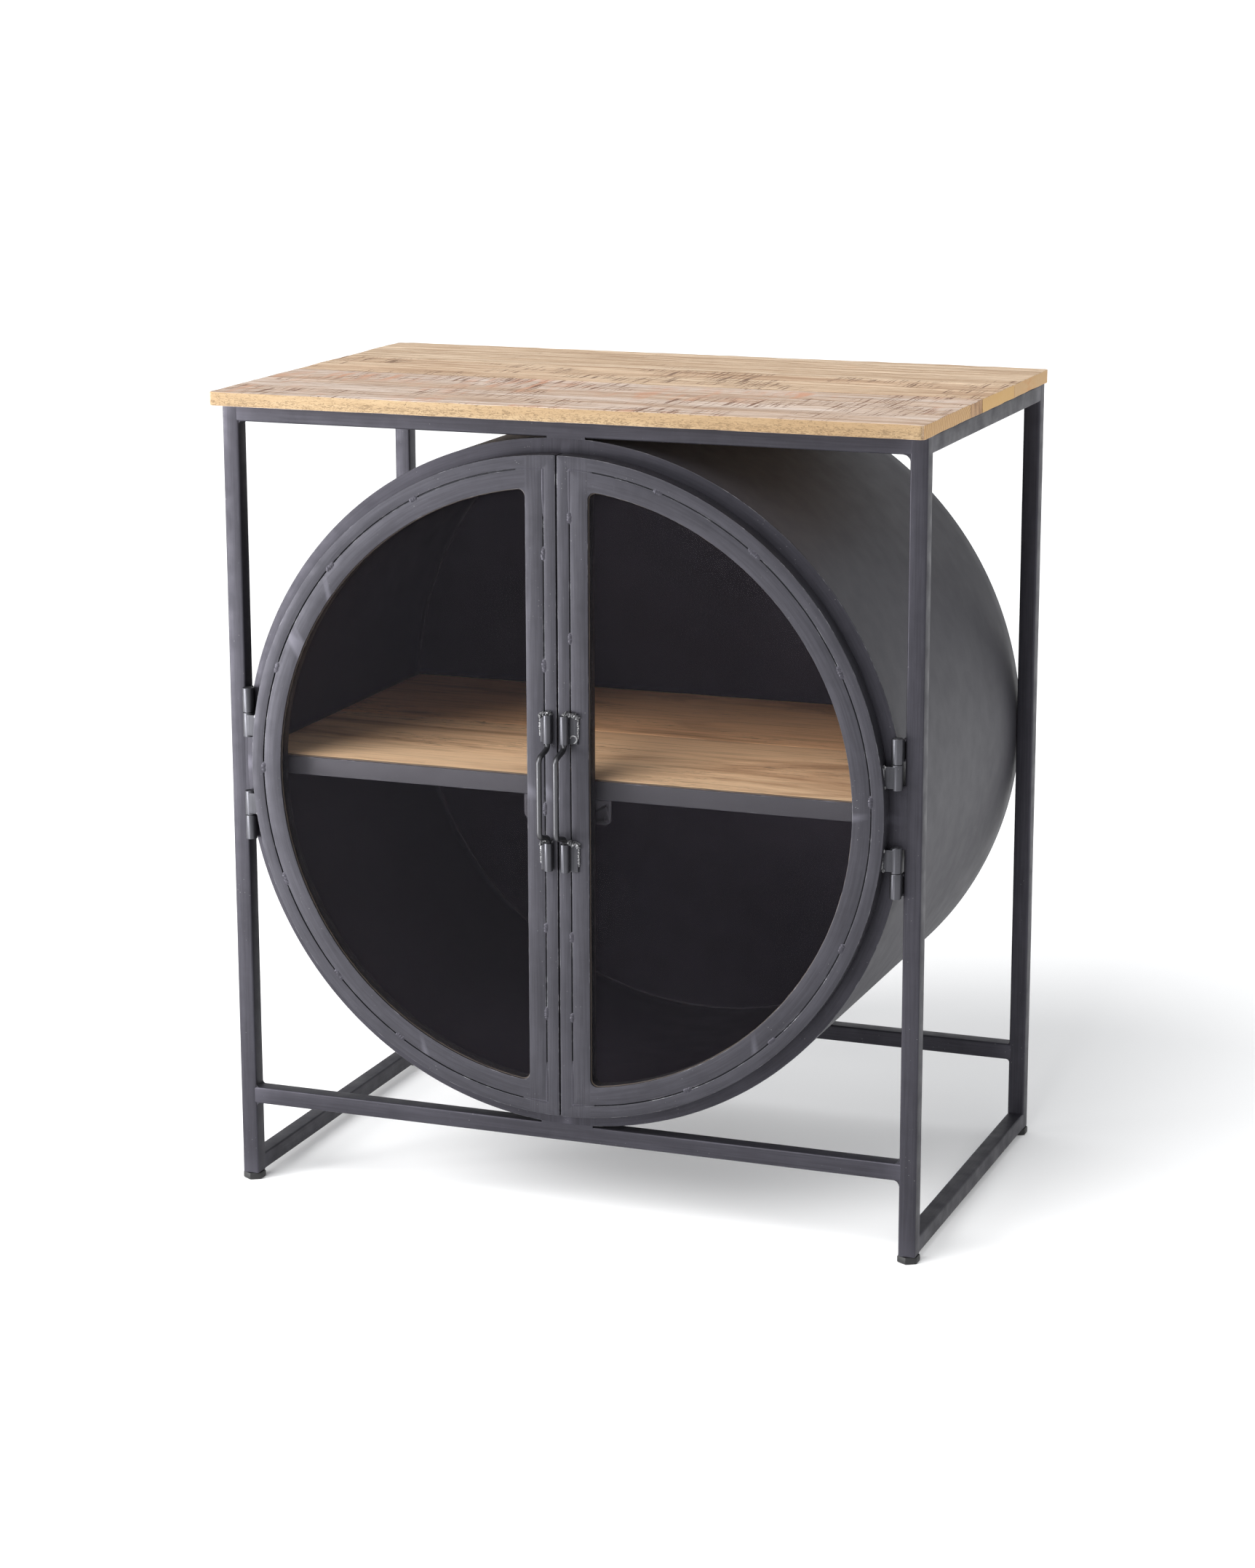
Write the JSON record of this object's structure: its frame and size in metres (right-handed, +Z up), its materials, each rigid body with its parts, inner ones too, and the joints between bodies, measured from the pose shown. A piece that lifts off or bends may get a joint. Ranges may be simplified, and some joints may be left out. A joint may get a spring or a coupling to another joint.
{
  "type": "sideboard",
  "caption": "Sideboard with a round steel drum cabinet on its side, half-round glazed doors and a wooden shelf, in a square-tube steel stand under a wooden plank top.",
  "frame": {"origin": "on the floor, at the centre of the bounding box", "axes": "+Z up; the doors face -Y; +X to the right of someone facing the doors"},
  "size_m": [0.8, 0.5272, 0.9013],
  "materials": {
    "frame_steel": "dark gunmetal clear-coated steel, satin",
    "drum_steel": "dark grey satin sheet steel",
    "drum_inside": "near-black matt sheet steel",
    "door_steel": "dark gunmetal clear-coated steel, satin, ground welds",
    "hinge_steel": "dark raw steel, worn bright on edges",
    "handle_steel": "dark raw steel rod, slightly shiny",
    "top_wood": "light honey wood with rough saw marks, matt",
    "shelf_wood": "warm brown wood, matt",
    "glide_plastic": "black plastic",
    "clear_glass": "clear flat glass",
    "screw_zinc": "zinc-plated"
  },
  "bodies": {
    "frame": {"catch_magnet_left": "glide_plastic", "catch_magnet_right": "glide_plastic", "catch_plate_left": "frame_steel", "catch_plate_right": "frame_steel", "drum_back": "drum_inside", "drum_front_ring": "frame_steel", "drum_rail_front": "frame_steel", "drum_rail_rear": "frame_steel", "drum_shell": "drum_steel", "floor_rail_left": "frame_steel", "floor_rail_right": "frame_steel", "foot_front_left": "glide_plastic", "foot_front_right": "glide_plastic", "foot_rear_left": "glide_plastic", "foot_rear_right": "glide_plastic", "hinge_left_lower_fixed": "hinge_steel", "hinge_left_lower_pin": "hinge_steel", "hinge_left_upper_fixed": "hinge_steel", "hinge_left_upper_pin": "hinge_steel", "hinge_right_lower_fixed": "hinge_steel", "hinge_right_lower_pin": "hinge_steel", "hinge_right_upper_fixed": "hinge_steel", "hinge_right_upper_pin": "hinge_steel", "post_front_left": "frame_steel", "post_front_right": "frame_steel", "post_rear_left": "frame_steel", "post_rear_right": "frame_steel", "shelf_angle_front": "frame_steel", "shelf_angle_rear": "frame_steel", "shelf_cleat_left": "frame_steel", "shelf_cleat_right": "frame_steel", "shelf_plank_front": "shelf_wood", "shelf_plank_rear": "shelf_wood", "top_plank_front": "top_wood", "top_plank_middle": "top_wood", "top_plank_rear": "top_wood", "top_rail_front": "frame_steel", "top_rail_left": "frame_steel", "top_rail_rear": "frame_steel", "top_rail_right": "frame_steel", "top_screw_front_left": "screw_zinc", "top_screw_front_right": "screw_zinc", "top_screw_rear_left": "screw_zinc", "top_screw_rear_right": "screw_zinc"},
    "door_left": {"door_left_glass": "clear_glass", "door_left_inner_frame": "door_steel", "door_left_outer_frame": "door_steel", "handle_left_socket_lower": "hinge_steel", "handle_left_socket_upper": "hinge_steel", "hinge_left_lower_door": "hinge_steel", "hinge_left_upper_door": "hinge_steel"},
    "door_right": {"door_right_glass": "clear_glass", "door_right_inner_frame": "door_steel", "door_right_outer_frame": "door_steel", "handle_right_socket_lower": "hinge_steel", "handle_right_socket_upper": "hinge_steel", "hinge_right_lower_door": "hinge_steel", "hinge_right_upper_door": "hinge_steel"},
    "handle_left": {"handle_left_rod": "handle_steel"},
    "handle_right": {"handle_right_rod": "handle_steel"}
  },
  "joints": [
    {"name": "door_left_hinge", "type": "hinge", "parent": "frame", "child": "door_left", "pos_m": [-0.3715, -0.2171, 0.489], "axis": [0, 0, -1], "range_deg": [0, 120]},
    {"name": "door_right_hinge", "type": "hinge", "parent": "frame", "child": "door_right", "pos_m": [0.3715, -0.2171, 0.489], "axis": [0, 0, 1], "range_deg": [0, 120]},
    {"name": "handle_left_pivot", "type": "hinge", "parent": "door_left", "child": "handle_left", "pos_m": [-0.0095, -0.2356, 0.489], "axis": [0, 0, -1], "range_deg": [0, 80]},
    {"name": "handle_right_pivot", "type": "hinge", "parent": "door_right", "child": "handle_right", "pos_m": [0.0095, -0.2356, 0.489], "axis": [0, 0, 1], "range_deg": [0, 80]}
  ]
}
